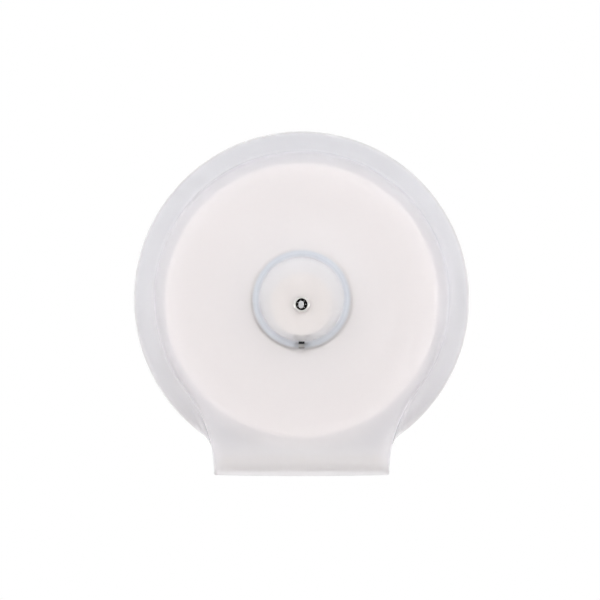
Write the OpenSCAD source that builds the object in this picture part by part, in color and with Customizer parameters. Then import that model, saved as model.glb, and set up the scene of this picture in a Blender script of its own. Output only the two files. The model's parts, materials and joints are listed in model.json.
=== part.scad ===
// Round wall dispenser for one mini-jumbo toilet roll. A frosted cover is hinged at its
// lower edge, locks into the hub that carries the roll, and lets the paper out of a chute.
// Pieces are drawn in the wall's frame, x right, y up and z out of the wall, and then turned
// so that +Z is up and the wall lies at y = 0, with the origin on the hub's axis.

/* [Cover] */
// Radius of the cover at its rear rim
rim_r = 135; // [130:1:145]
// Radius of the cover at its front corner, before rounding
front_r = 111; // [108:0.5:118]
// Depth from the wall to the cover's face
face_d = 116; // [112:1:130]
// Thickness of the cover's walls
cover_wall = 2.4; // [1.8:0.1:3]
// Rounding of the cover's front edge
edge_r = 4; // [2:0.5:6]
// Gap between the wall and the cover's rear rim
rim_gap = 1.5; // [1:0.1:2]
// Width of the chute at the rear rim
chute_rear_w = 141; // [138:1:150]
// Width of the chute at the face
chute_front_w = 132; // [128:1:136]
// Distance from the hub's axis down to the lower edge of the chute
chute_drop = 132.7; // [120:0.1:145]
// Blend between the chute and the round wall at the rear rim
rear_blend_r = 25; // [15:1:30]
// Largest blend between the chute and the round wall at the face
front_blend_r = 110; // [60:5:120]

/* [Lock boss] */
// Height of the boss over the face
boss_h = 10; // [10:0.5:14]
// Radius of the boss at its top
boss_top_r = 31.7; // [31:0.1:32]
// Radius of the boss at the face, before the hollow blend
boss_base_r = 35; // [34:0.1:36]
// Hollow blend between the boss and the face
boss_blend_r = 5; // [4:1:9]
// Rounding of the boss's top edge
boss_edge_r = 1; // [0.6:0.1:1.2]
// Width of the lock window
window_w = 4.5; // [4:0.1:8]
// Height of the lock window
window_h = 5.4; // [4:0.1:5.6]

/* [Lock] */
// Distance of the lock's axis below the hub's axis
lock_drop = 4; // [2:0.5:5]
// Radius of the barrel's head
head_r = 5.8; // [5.6:0.1:7]
// Thickness of the barrel's head
head_t = 1.4; // [1:0.1:2.5]
// Radius of the barrel's threaded body
barrel_r = 5.2; // [5.1:0.1:5.5]
// Radius of the bore in the barrel
keyway_r = 4.5; // [4.2:0.1:4.6]
// Radius of the plug's middle post
post_r = 1.7; // [1.2:0.1:2.2]
// Depth of the ring-shaped keyway
keyway_depth = 5; // [3:0.5:7]
// Length of the cam from the lock's axis to its tip
cam_l = 29.9; // [26:0.1:30]
// Width of the cam
cam_w = 6; // [6:0.5:9]
// Rounding of the corners of the cam's tip
cam_tip_r = 1.5; // [0.5:0.1:2.5]
// Thickness of the cam
cam_t = 2; // [1.2:0.1:2.4]
// Radius of the disc behind the boss's top
backing_r = 23.3; // [18:0.1:24]
// Thickness of the disc behind the boss's top
backing_t = 1.2; // [0.8:0.1:2]
// Thickness of the barrel's washer
barrel_washer_t = 1; // [0.6:0.1:1.5]
// Thickness of the barrel's nut
barrel_nut_t = 3.5; // [2:0.1:4]
// Width across the flats of the barrel's nut
barrel_nut_w = 15; // [13.5:0.5:17]
// Radius of the plug's threaded end
stub_r = 2.5; // [2:0.1:2.6]
// Thickness of the cam's washer
cam_washer_t = 0.8; // [0.5:0.1:1.2]
// Thickness of the cam's nut
cam_nut_t = 2.8; // [2:0.1:3.2]
// Width across the flats of the cam's nut
cam_nut_w = 8; // [7:0.1:8.5]

/* [Back plate] */
// Thickness of the back plate
plate_t = 2.5; // [2:0.1:4]
// Depth of the plate's rim wall, from the wall
rim_wall_d = 12; // [8:0.5:13]
// Thickness of the rim wall and of the ribs
rib_t = 2; // [1.2:0.1:3]
// Height of the ribs over the plate
rib_h = 3.5; // [1:0.1:4]
// Number of radial ribs
rib_count = 6; // [4:2:8]
// Radius of the ring-shaped rib
ring_rib_r = 74; // [60:1:90]
// Distance between the wall holes, across and up
hole_spacing = 164; // [156:1:168]
// Radius of each wall hole
hole_r = 2.75; // [2:0.05:4]
// Radius of the pad around each wall hole
hole_pad_r = 8; // [6:0.5:9]
// Depth of the pads at the wall holes and under the hub
pad_d = 4; // [3.5:0.1:5]
// Width of the tongue behind the chute
tongue_w = 124; // [120:1:126]
// Height of the tongue's lower edge over the lower edge of the chute
tongue_lift = 4.7; // [2:0.1:6]
// Largest blend between the round plate and its tongue
plate_blend_r = 19; // [5:1:25]
// Gap between the plate's edge and the inside of the cover
rim_clear = 1.1; // [0.6:0.1:2]
// Gap between the plate's rim wall and the inside of the cover
rim_wall_clear = 1.8; // [1:0.1:4]

/* [Roll hub] */
// Outer radius of the hub's tube
hub_r = 36.8; // [35.9:0.1:37.4]
// Thickness of the hub's tube
hub_wall = 2.4; // [1.8:0.1:2.4]
// Gap between the hub's end and the inside of the cover
hub_gap = 1.2; // [0.8:0.1:2]
// Thickness of the hub's end cap
cap_t = 2.4; // [1.8:0.1:2.6]
// Radius of the hub's flange
flange_r = 46; // [45:0.5:50]
// Thickness of the hub's flange
flange_t = 2.5; // [2:0.1:3]
// Width of the slot that the cam passes
slot_w = 12; // [11:0.5:14]
// Radius of the opening round the lock
opening_r = 8; // [7:0.5:10]
// Length of the end cap's lugs
lug_l = 8; // [4:0.5:12]
// Radius of the heads of the hub's screws
hub_head_r = 3.6; // [3:0.1:4]
// Thickness of the heads of the hub's screws
hub_head_t = 2.2; // [1.5:0.1:2.6]
// Radius of the hub's screws
hub_screw_r = 1.8; // [1.4:0.1:2.2]

/* [Roll] */
// Radius of the paper roll
roll_r = 104.5; // [80:0.5:105]
// Width of the roll
roll_w = 96; // [80:1:96]
// Inner radius of the cardboard core
core_r = 38; // [37.8:0.1:40]
// Thickness of the cardboard core
core_t = 1.6; // [0.8:0.1:2.5]
// Gap between the roll and the cam in front of it
roll_front_gap = 0.6; // [0.4:0.1:1.5]
// Gap between the hub and the core that hangs on it
hang_gap = 0.3; // [0.25:0.05:0.5]

/* [Hinge] */
// Depth from the wall to the hinge's axis
hinge_d = 14; // [13:0.5:16]
// Height of the hinge's axis over the lower edge of the chute
hinge_lift = 6.7; // [6.6:0.1:8]
// Radius of the hinge pins
pin_r = 3; // [2.5:0.1:3.2]
// Length of each hinge pin
pin_l = 12.4; // [11.5:0.1:12.6]
// Radius of the ears on the back plate
ear_r = 6.3; // [6:0.1:6.5]
// Thickness of the ears
ear_t = 4.6; // [4:0.1:5]
// Radius of the bosses inside the cover
cup_r = 6.5; // [6.2:0.1:6.6]
// Wall of the hinge bushes
bush_wall = 1.25; // [1:0.05:1.5]
// Thickness of the flange of each bush
bush_flange_t = 0.8; // [0.6:0.1:1.2]
// Side gap between each ear and its bush
ear_gap = 0.4; // [0.3:0.05:0.6]
// Thickness of the pins' clips
clip_t = 0.8; // [0.6:0.1:1]
// Wall that is left outside the bottom of each hinge cup
cup_floor = 1.35; // [1:0.05:1.6]
// Depth of the bore in each hinge cup
cup_l = 5.6; // [4:0.1:6]

/* [Tear bars] */
// Length of the rear tear bar
rear_bar_l = 100; // [80:1:104]
// Gap between each end of the front tear bar and the side of the chute
front_bar_gap = 0.6; // [0.4:0.1:12]
// Thickness of the tear bars
bar_t = 1.2; // [0.8:0.1:1.6]
// Height of the front tear bar, with its teeth
front_bar_h = 13.5; // [10:0.5:16]
// Height of the rear tear bar, with its teeth
rear_bar_h = 12; // [9:0.5:14]
// Height of the teeth
tooth_h = 3; // [1.5:0.1:4]
// Width of one tooth
tooth_w = 4; // [2:0.5:5]
// How far the tips of the teeth stay above the cover's lower edge
tooth_lift = 1.2; // [0.6:0.1:3]
// Radius of the heads of the tear bars' screws
bar_head_r = 2.6; // [2.2:0.1:2.8]
// Thickness of the heads of the tear bars' screws
bar_head_t = 1.1; // [0.8:0.1:1.5]
// Radius of the tear bars' screws
bar_screw_r = 1.25; // [1:0.05:1.6]

/* [Hidden] */

$fn = 120;
// Steps of the polyhedral walls of the cover
blend_steps = 8;
round_steps = 60;
edge_steps = 5;
// Steps of a rounded corner in a turned profile
arc_steps = 8;
// Small overlap and cut allowances
bite = 0.2;
through = 1;
// Clearance of turning fits and of loose holes round screws and barrels
run_fit = 0.05;
loose_fit = 0.15;
// Straight length that is left below each blend
land = 1;

// Depths along the lock's axis, from the front to the wall
face_in_d = face_d - cover_wall;
boss_d = face_d + boss_h;
boss_in_d = boss_d - cover_wall;
backing_d = boss_in_d - backing_t;
barrel_washer_d = backing_d - barrel_washer_t;
barrel_nut_d = barrel_washer_d - barrel_nut_t;
hub_end_d = face_in_d - hub_gap;
cap_d = hub_end_d - cap_t;
// Gap between the end cap and the cam behind it
cam_gap = 0.4;
cam_front_d = cap_d - cam_gap;
cam_rear_d = cam_front_d - cam_t;
cam_washer_d = cam_rear_d - cam_washer_t;
cam_nut_d = cam_washer_d - cam_nut_t;
stub_tail = 0.6;
stub_end_d = cam_nut_d - stub_tail;
plug_flange_t = 2.4;
plug_gap = 0.3;
barrel_end_d = cam_front_d + plug_flange_t + plug_gap;
head_d = boss_d + head_t;
keyway_d = head_d - keyway_depth;

// Roll
roll_front_d = cam_rear_d - roll_front_gap;
roll_rear_d = roll_front_d - roll_w;
roll_sag = core_r - hub_r - hang_gap;
hub_in_r = hub_r - hub_wall;

// Lugs of the hub's end cap, clear of the way that the cam turns
lug_angles = [30, 90, 140];
lug_span = 20;

// Boss
boss_slope = (boss_base_r - boss_top_r) / boss_h;
boss_skew = cover_wall * sqrt(1 + boss_slope * boss_slope);
boss_rim = 1.5;
boss_plate_r = boss_base_r + boss_blend_r + boss_rim;
window_top_r = boss_top_r + 0.1;
cam_seat_r = stub_r + 0.5;
cam_eye_wall = 2;
key_notch_w = 1.6;
key_notch_l = 0.7;

// Back plate
plate_r = rim_r - cover_wall - rim_clear;
rim_wall_r = wall_r(rim_wall_d) - cover_wall - rim_wall_clear;
rim_wall_from = -35;
pad_margin = 1;
pad_r = flange_r + pad_margin;
hub_screw_ring = (hub_r + flange_r) / 2;
hub_screw_end_d = 0.8;
tongue_drop = chute_drop - tongue_lift;
tongue_blend_r = min(plate_blend_r, blend_limit(plate_r, tongue_w / 2, tongue_drop));

// Hinge, measured along x from the middle
hinge_drop = chute_drop - hinge_lift;
cup_bottom = wall_w(hinge_d + cup_r) / 2 - cup_floor;
cup_mouth = cup_bottom - cup_l;
bush_face = cup_mouth - bush_flange_t;
ear_out = bush_face - ear_gap;
ear_in = ear_out - ear_t;
pin_end_gap = 0.5;
pin_out = cup_bottom - pin_end_gap;
pin_in = pin_out - pin_l;
bush_r = pin_r + run_fit + bush_wall;
bush_flange_r = cup_r - 0.2;
clip_r = pin_r + 1.8;
clip_groove_r = pin_r - 0.7;
clip_gap = 0.05;
clip_opening = 1.7 * clip_groove_r;
tail_swing = hinge_d - rim_gap;

// Tear bars
front_bar_bottom = chute_drop - tooth_lift;
rear_bar_bottom = tongue_drop + 2;
front_bar_l = wall_w(face_d) - 2 * (cover_wall + front_bar_gap);
bar_screw_inset = 8;
bar_screw_up = bar_head_r + 1;
front_screw_bite = 1.2;
rear_screw_bite = 1.7;

// Radius of the cover's round wall at a depth
function wall_r(d) = rim_r + (front_r - rim_r) * (d - rim_gap) / (face_d - rim_gap);
// Width of the chute at a depth
function wall_w(d) =
    chute_rear_w + (chute_front_w - chute_rear_w) * (d - rim_gap) / (face_d - rim_gap);
// Largest blend that still leaves the straight length above the lower edge
function blend_limit(r, w, drop) = ((drop - land) ^ 2 - r * r + w * w) / (2 * (r - w));
// Angle below the x axis at which the round wall meets the blend
function blend_angle(r, w, b) = acos((w + b) / (r + b));
// Height of the centre of the blend
function blend_y(r, w, b) = -sqrt((r + b) ^ 2 - (w + b) ^ 2);

// One side of a keyhole outline from its lower edge up to the round wall
function outline_side(r, w, b, drop) =
    let (low = blend_angle(r, w, b))
    concat(
        [[w, -drop]],
        [
            for (i = [0:blend_steps])
                let (a = 180 - low * i / blend_steps)
                [w + b + b * cos(a), blend_y(r, w, b) + b * sin(a)]
        ]
    );

// A keyhole outline from its lower right corner, over the top, to its lower left corner
function outline(r, w, b, drop) =
    let (
        side = outline_side(r, w, b, drop),
        low = blend_angle(r, w, b),
        last = len(side) - 1
    )
    concat(
        side,
        [
            for (i = [1:round_steps - 1])
                let (a = -low + (180 + 2 * low) * i / round_steps)
                r * [cos(a), sin(a)]
        ],
        [for (i = [last:-1:0]) [-side[i].x, side[i].y]]
    );

// The outline at a depth, drawn in by an inset
function ring_at(d, inset) =
    let (
        share = (d - rim_gap) / (face_d - rim_gap),
        rear_b = min(rear_blend_r, blend_limit(rim_r, chute_rear_w / 2, chute_drop)),
        front_b = min(front_blend_r, blend_limit(front_r, chute_front_w / 2, chute_drop)),
        rear = outline(rim_r - inset, chute_rear_w / 2 - inset, rear_b + inset, chute_drop),
        front = outline(front_r - inset, chute_front_w / 2 - inset, front_b + inset, chute_drop)
    )
    [for (i = [0:len(rear) - 1]) concat(rear[i] * (1 - share) + front[i] * share, d)];

// Points that round the corner b between a and c
function corner(a, b, c, r) =
    r == 0
        ? [b]
        : let (
              u = (a - b) / norm(a - b),
              v = (c - b) / norm(c - b),
              half = acos(u * v) / 2,
              middle = b + (u + v) / norm(u + v) * r / sin(half),
              start = b + u * r / tan(half) - middle,
              turn = (cross(u, v) > 0 ? -1 : 1) * (180 - 2 * half)
          )
          [
              for (i = [0:arc_steps])
                  let (t = turn * i / arc_steps)
                  middle + [start.x * cos(t) - start.y * sin(t), start.x * sin(t) + start.y * cos(t)]
          ];

// Radius of the boss's inner wall at a depth
function boss_in_r(d) = boss_top_r + (boss_d - d) * boss_slope - boss_skew;

module on_wall() {
    rotate([90, 0, 0]) children();
}

module at_lock(d) {
    translate([0, -lock_drop, d]) children();
}

// A round piece along x, from x0 to x1, on the hinge's axis
module on_hinge(x0, x1, r) {
    translate([min(x0, x1), -hinge_drop, hinge_d])
        rotate([0, 90, 0])
            cylinder(r = r, h = abs(x1 - x0));
}

module ring(r_out, r_in, h) {
    difference() {
        cylinder(r = r_out, h = h);
        translate([0, 0, -through]) cylinder(r = r_in, h = h + 2 * through);
    }
}

module hexagon(across, h) {
    cylinder(r = across / sqrt(3), h = h, $fn = 6);
}

// A pan-head screw along +z, with its head's seat at z = 0 and its point below
module screw(r, head, head_h, length) {
    round_r = head_h * 0.6;
    recess_l = head * 1.2;
    recess_w = head * 0.22;
    recess_h = head_h * 0.55;
    translate([0, 0, -length]) cylinder(r = r, h = length + bite);
    difference() {
        rotate_extrude()
            polygon(concat(
                [[0, 0], [head, 0]],
                corner([head, 0], [head, head_h], [0, head_h], round_r),
                [[0, head_h]]
            ));
        for (turn = [0, 90])
            rotate(turn)
                translate([-recess_l / 2, -recess_w / 2, head_h - recess_h])
                    cube([recess_l, recess_w, head_h]);
    }
}

// The flat keyhole shape of the back plate, cut straight along its lower edge
module keyhole(r, w, b, drop) {
    intersection() {
        union() {
            circle(r = r);
            translate([-w, -drop]) square([2 * w, drop]);
            if (b > 0) for (side = [0, 1]) mirror([side, 0]) neck(r, w, b);
        }
        translate([-2 * r, -drop]) square(4 * r);
    }
}

// The hollow corner between the round plate and its tongue
module neck(r, w, b) {
    c = [w + b, blend_y(r, w, b)];
    foot = [w, c.y];
    meet = c * r / (r + b);
    difference() {
        polygon([foot, c, meet, meet * 0.9, foot - [w * 0.1, 0]]);
        translate(c) circle(r = b);
    }
}

module back_plate() {
    color("whitesmoke") on_wall() difference() {
        union() {
            linear_extrude(plate_t) keyhole(plate_r, tongue_w / 2, tongue_blend_r, tongue_drop);
            cylinder(r = pad_r, h = pad_d);
            rotate([0, 0, rim_wall_from])
                rotate_extrude(angle = 180 - 2 * rim_wall_from)
                    translate([rim_wall_r - rib_t, 0]) square([rib_t, rim_wall_d]);
            ring(ring_rib_r + rib_t, ring_rib_r, plate_t + rib_h);
            for (i = [0:rib_count - 1])
                rotate(i * 360 / rib_count)
                    translate([pad_r - bite, -rib_t / 2, 0])
                        cube([rim_wall_r - rib_t / 2 - pad_r, rib_t, plate_t + rib_h]);
            wall_holes(hole_pad_r, 0, pad_d);
            for (side = [-1, 1]) ear(side);
        }
        wall_holes(hole_r, -through, pad_d + through);
        hub_screw_places() cylinder(r = hub_screw_r, h = pad_d + through);
        rear_bar_places() cylinder(r = bar_screw_r, h = plate_t);
        for (side = [-1, 1])
            on_hinge(side * (ear_in - through), side * (ear_out + through), pin_r);
    }
}

module wall_holes(r, from, to) {
    for (x = [-1, 1], y = [-1, 1])
        translate([x * hole_spacing / 2, y * hole_spacing / 2, from])
            cylinder(r = r, h = to - from);
}

module ear(side) {
    on_hinge(side * ear_in, side * ear_out, ear_r);
    translate([side * (ear_in + ear_out) / 2 - ear_t / 2, -hinge_drop - ear_r, 0])
        cube([ear_t, 2 * ear_r, hinge_d]);
}

module hub_screw_places() {
    for (a = [45:90:315])
        rotate(a) translate([hub_screw_ring, 0, hub_screw_end_d]) children();
}

// Three places along a bar, from one end to the other
function along_bar(length) =
    [for (side = [-1, 0, 1]) side * (length / 2 - bar_screw_inset)];

module rear_bar_places() {
    for (x = along_bar(rear_bar_l))
        translate([x, -(rear_bar_bottom - rear_bar_h + bar_screw_up), plate_t - rear_screw_bite])
            children();
}

// The radial slot and the opening that the cam and its nut pass through
module cam_way(from, to) {
    at_lock(from) cylinder(r = opening_r, h = to - from);
    translate([-slot_w / 2, -hub_r - through, from])
        cube([slot_w, hub_r + through - lock_drop, to - from]);
}

module roll_hub() {
    color("gainsboro") on_wall() difference() {
        union() {
            translate([0, 0, pad_d]) ring(flange_r, hub_in_r, flange_t);
            translate([0, 0, pad_d]) ring(hub_r, hub_in_r, cap_d - pad_d);
        }
        cam_way(cam_nut_d, cap_d + through);
        hub_screw_places() cylinder(r = hub_screw_r, h = pad_d + flange_t + through);
    }
}

module hub_end_cap() {
    color("gainsboro") on_wall() {
        difference() {
            union() {
                translate([0, 0, cap_d]) cylinder(r = hub_r, h = cap_t);
                for (a = lug_angles)
                    rotate(a - lug_span / 2)
                        translate([0, 0, cap_d - lug_l])
                            rotate_extrude(angle = lug_span)
                                translate([hub_in_r - hub_wall, 0]) square([hub_wall, lug_l + bite]);
            }
            cam_way(cap_d - through, hub_end_d + through);
        }
        nub();
    }
}

// A low nub on top of the end cap keeps the roll on the hub while the cover is open
module nub() {
    nub_h = 1.6;
    nub_w = 10;
    translate([-nub_w / 2, hub_r - 2 * nub_h, cap_d])
        cube([nub_w, 2 * nub_h + nub_h, cap_t]);
}

module hub_screws() {
    color("silver") on_wall()
        hub_screw_places()
            translate([0, 0, pad_d + flange_t - hub_screw_end_d])
                screw(hub_screw_r, hub_head_r, hub_head_t, pad_d + flange_t - hub_screw_end_d);
}

module hinge_pin(side) {
    color("silver") on_wall() difference() {
        on_hinge(side * pin_in, side * pin_out, pin_r);
        difference() {
            on_hinge(side * (ear_in - clip_gap - clip_t), side * (ear_in - clip_gap), pin_r + through);
            on_hinge(side * (pin_in - through), side * pin_out, clip_groove_r);
        }
    }
}

module hinge_pin_left() {
    hinge_pin(-1);
}

module hinge_pin_right() {
    hinge_pin(1);
}

module hinge_pin_clips() {
    color("dimgray") on_wall()
        for (side = [-1, 1])
            difference() {
                on_hinge(side * (ear_in - clip_gap - clip_t), side * (ear_in - clip_gap), clip_r);
                on_hinge(side * (ear_in - 2 * through), side * ear_in, clip_groove_r);
                translate([side * ear_in - through * 2, -hinge_drop - clip_opening / 2, hinge_d])
                    cube([4 * through, clip_opening, clip_r + through]);
            }
}

// A flat bar with a row of teeth along its lower edge, its top edge at y = 0
module tear_bar(length, height) {
    teeth = floor(length / tooth_w);
    half = teeth * tooth_w / 2;
    linear_extrude(bar_t)
        polygon(concat(
            [[half, 0], [-half, 0], [-half, tooth_h - height]],
            [
                for (i = [0:teeth - 1], k = [0, 1])
                    [-half + (i + (k + 1) / 2) * tooth_w, (1 - k) * -height + k * (tooth_h - height)]
            ]
        ));
}

module rear_tear_bar() {
    color("silver") on_wall() difference() {
        translate([0, rear_bar_h - rear_bar_bottom, plate_t]) tear_bar(rear_bar_l, rear_bar_h);
        rear_bar_places() cylinder(r = bar_screw_r, h = plate_t + bar_t + through);
    }
}

module rear_tear_bar_screws() {
    color("silver") on_wall()
        rear_bar_places()
            translate([0, 0, rear_screw_bite + bar_t])
                screw(bar_screw_r, bar_head_r, bar_head_t, rear_screw_bite + bar_t);
}

module front_bar_places() {
    for (x = along_bar(front_bar_l))
        translate([x, -(front_bar_bottom - front_bar_h + bar_screw_up), face_in_d + front_screw_bite])
            mirror([0, 0, 1]) children();
}

module front_tear_bar() {
    color("white") on_wall() difference() {
        translate([0, front_bar_h - front_bar_bottom, face_in_d - bar_t])
            tear_bar(front_bar_l, front_bar_h);
        front_bar_places() cylinder(r = bar_screw_r, h = front_screw_bite + bar_t + through);
    }
}

module front_tear_bar_screws() {
    color("ivory") on_wall()
        front_bar_places()
            translate([0, 0, front_screw_bite + bar_t])
                screw(bar_screw_r, bar_head_r, bar_head_t, front_screw_bite + bar_t);
}

// The lofted keyhole shell, open to the wall and at the lower edge. Its face is a fan about
// the hub's axis, which the boss's plate covers later.
module cover_shell() {
    outer = concat(
        [ring_at(rim_gap, 0)],
        [
            for (i = [0:edge_steps])
                let (a = 90 * i / edge_steps, d = face_d - edge_r * (1 - sin(a)))
                [for (p = ring_at(d, edge_r * (1 - cos(a)))) [p.x, p.y, d]]
        ]
    );
    inner = [ring_at(rim_gap, cover_wall), ring_at(face_in_d, cover_wall)];
    n = len(inner[0]);
    last = n - 1;
    front = (len(outer) - 1) * n;
    rear_in = front + n;
    front_in = rear_in + n;
    middle = front_in + n;
    polyhedron(
        points = concat(
            [for (level = concat(outer, inner), p = level) p],
            [[0, 0, face_d], [0, 0, face_in_d]]
        ),
        faces = concat(
            [for (k = [0:len(outer) - 2]) each band(k * n, (k + 1) * n, last)],
            band(front_in, rear_in, last),
            band(rear_in, 0, last),
            [for (j = [0:last - 1]) [middle, front + j + 1, front + j]],
            [for (j = [0:last - 1]) [middle + 1, front_in + j, front_in + j + 1]],
            [[middle, front, front + last], [middle + 1, front_in + last, front_in]],
            [for (k = [0:len(outer) - 2]) [front_in, (k + 1) * n, k * n]],
            [for (k = [0:len(outer) - 2]) [front_in + last, k * n + last, (k + 1) * n + last]],
            [
                [0, rear_in, front_in],
                [front_in + last, rear_in + last, last],
                [front_in, front_in + last, front + last],
                [front_in, front + last, front]
            ]
        )
    );
}

// Triangles between two rings of points, seen from outside with ring a on the right
function band(a, b, last) =
    [
        for (j = [0:last - 1], half = [0, 1])
            half == 0 ? [a + j, b + j, b + j + 1] : [a + j, b + j + 1, a + j + 1]
    ];

// The boss that holds the lock, turned with the middle of the face around it
module cover_boss() {
    top_in = [boss_in_r(boss_in_d), boss_in_d];
    base_in = [boss_in_r(face_in_d), face_in_d];
    rotate_extrude()
        polygon(concat(
            [[0, boss_in_d], [0, boss_d]],
            corner([0, boss_d], [boss_top_r, boss_d], [boss_base_r, face_d], boss_edge_r),
            corner(
                [boss_top_r, boss_d], [boss_base_r, face_d], [boss_plate_r, face_d], boss_blend_r
            ),
            [[boss_plate_r, face_d], [boss_plate_r, face_in_d]],
            corner([boss_plate_r, face_in_d], base_in, top_in, boss_blend_r + cover_wall),
            [top_in]
        ));
}

module front_cover() {
    color("gainsboro") on_wall() difference() {
        union() {
            difference() {
                cover_shell();
                translate([0, 0, face_in_d - through])
                    cylinder(r = boss_plate_r - through, h = cover_wall + 2 * through);
            }
            cover_boss();
            for (side = [-1, 1])
                on_hinge(side * cup_mouth, side * (cup_bottom + bite), cup_r);
        }
        at_lock(face_d) cylinder(r = barrel_r + loose_fit, h = boss_h + through);
        translate([-window_w / 2, -window_top_r - window_h, face_in_d - through])
            cube([window_w, window_h, boss_h + cover_wall + 2 * through]);
        front_bar_places() cylinder(r = bar_screw_r, h = front_screw_bite + through);
        for (side = [-1, 1])
            on_hinge(side * (cup_mouth - through), side * cup_bottom, bush_r);
        tail_corner();
    }
}

// Rounds the rear lower corners of the chute about the hinge, so that they pass the wall
module tail_corner() {
    difference() {
        translate([-chute_rear_w, -chute_drop - through, 0])
            cube([2 * chute_rear_w, chute_drop - hinge_drop + through, hinge_d]);
        on_hinge(-chute_rear_w - through, chute_rear_w + through, tail_swing);
    }
}

module hinge_bush(side) {
    color("ivory") on_wall() difference() {
        union() {
            on_hinge(side * bush_face, side * cup_mouth, bush_flange_r);
            on_hinge(side * cup_mouth, side * cup_bottom, bush_r);
        }
        on_hinge(side * (bush_face - through), side * (cup_bottom + through), pin_r + run_fit);
    }
}

module hinge_bush_left() {
    hinge_bush(-1);
}

module hinge_bush_right() {
    hinge_bush(1);
}

module lock_barrel() {
    chamfer = 0.4;
    color("silver") on_wall() at_lock(0) difference() {
        rotate_extrude()
            polygon([
                [0, barrel_end_d], [barrel_r, barrel_end_d], [barrel_r, boss_d],
                [head_r, boss_d], [head_r, head_d - chamfer], [head_r - chamfer, head_d],
                [0, head_d]
            ]);
        translate([0, 0, barrel_end_d - through])
            cylinder(r = keyway_r, h = head_d - barrel_end_d + 2 * through);
        translate([-key_notch_w / 2, 0, head_d - head_t])
            cube([key_notch_w, keyway_r + key_notch_l, head_t + through]);
    }
}

module lock_barrel_nut() {
    color("silver") on_wall() at_lock(barrel_nut_d) difference() {
        hexagon(barrel_nut_w, barrel_nut_t);
        translate([0, 0, -through]) cylinder(r = barrel_r, h = barrel_nut_t + 2 * through);
    }
}

module lock_barrel_washer() {
    margin = 0.8;
    color("silver") on_wall()
        at_lock(barrel_washer_d)
            ring(barrel_nut_w / 2 + margin, barrel_r + loose_fit, barrel_washer_t);
}

module lock_backing_disc() {
    bead_w = 1.4;
    bead_h = 0.5;
    color("linen") on_wall() at_lock(backing_d) difference() {
        union() {
            cylinder(r = backing_r, h = backing_t);
            translate([0, 0, -bead_h])
                ring(backing_r, backing_r - bead_w, bead_h + backing_t);
        }
        translate([0, 0, -through])
            cylinder(r = barrel_r + loose_fit, h = backing_t + 2 * through);
    }
}

// The flatted seat that turns the cam with the plug
module flatted(r) {
    intersection() {
        circle(r = r);
        square([2 * r, 1.5 * r], center = true);
    }
}

module lock_plug() {
    post_recess = 0.4;
    flange_over = 0.5;
    color("silver") on_wall() at_lock(0) {
        translate([0, 0, stub_end_d]) cylinder(r = stub_r, h = cam_rear_d - stub_end_d);
        translate([0, 0, cam_rear_d]) linear_extrude(cam_t + bite) flatted(cam_seat_r);
        translate([0, 0, cam_front_d]) cylinder(r = keyway_r + flange_over, h = plug_flange_t);
        translate([0, 0, cam_front_d])
            cylinder(r = keyway_r - run_fit, h = keyway_d - cam_front_d);
        translate([0, 0, keyway_d - bite])
            cylinder(r = post_r, h = keyway_depth - post_recess + bite);
    }
}

module lock_cam() {
    tip_flat = cam_w - 2 * cam_tip_r;
    color("silver") on_wall() at_lock(cam_rear_d)
        linear_extrude(cam_t)
            difference() {
                union() {
                    circle(r = cam_seat_r + cam_eye_wall);
                    translate([-cam_w / 2, cam_tip_r - cam_l]) square([cam_w, cam_l - cam_tip_r]);
                    translate([-tip_flat / 2, -cam_l]) square([tip_flat, cam_l]);
                    for (side = [-1, 1])
                        translate([side * tip_flat / 2, cam_tip_r - cam_l]) circle(r = cam_tip_r);
                }
                flatted(cam_seat_r);
            }
}

module cam_washer() {
    margin = 0.4;
    color("silver") on_wall()
        at_lock(cam_washer_d)
            ring(cam_nut_w / 2 + margin, stub_r, cam_washer_t);
}

module cam_nut() {
    color("silver") on_wall() at_lock(cam_nut_d) difference() {
        hexagon(cam_nut_w, cam_nut_t);
        translate([0, 0, -through]) cylinder(r = stub_r, h = cam_nut_t + 2 * through);
    }
}

module roll_core() {
    color("tan") on_wall()
        translate([0, -roll_sag, roll_rear_d]) ring(core_r + core_t, core_r, roll_w);
}

module paper_roll() {
    color("white") on_wall()
        translate([0, -roll_sag, roll_rear_d]) ring(roll_r, core_r + core_t, roll_w);
}

back_plate();
roll_hub();
hub_end_cap();
hub_screws();
hinge_pin_left();
hinge_pin_right();
hinge_pin_clips();
rear_tear_bar();
rear_tear_bar_screws();
front_cover();
hinge_bush_left();
hinge_bush_right();
lock_barrel();
lock_barrel_nut();
lock_barrel_washer();
lock_backing_disc();
front_tear_bar();
front_tear_bar_screws();
lock_plug();
lock_cam();
cam_washer();
cam_nut();
roll_core();
paper_roll();
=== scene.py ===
# %% [markdown]
# # A round dispenser for a jumbo toilet roll
# The real object hangs on a washroom wall: a pale grey back plate with a hub for the roll,
# and in front of it one big frosted cover that is hinged at its lower edge and locked in the
# middle. The photograph looks straight at the cover, so nearly everything that it shows is
# milky plastic with a pale roll behind it.
#
# The solids come from the CAD part. This file keeps those whose shape is right, gives each
# of them a finish, and remakes three of them in finer mesh: the cover, the roll and its core.
# The lock gets three small pieces that the part leaves out: its pins, a post and a thread.

# %% Frame
import json
import math

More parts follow.
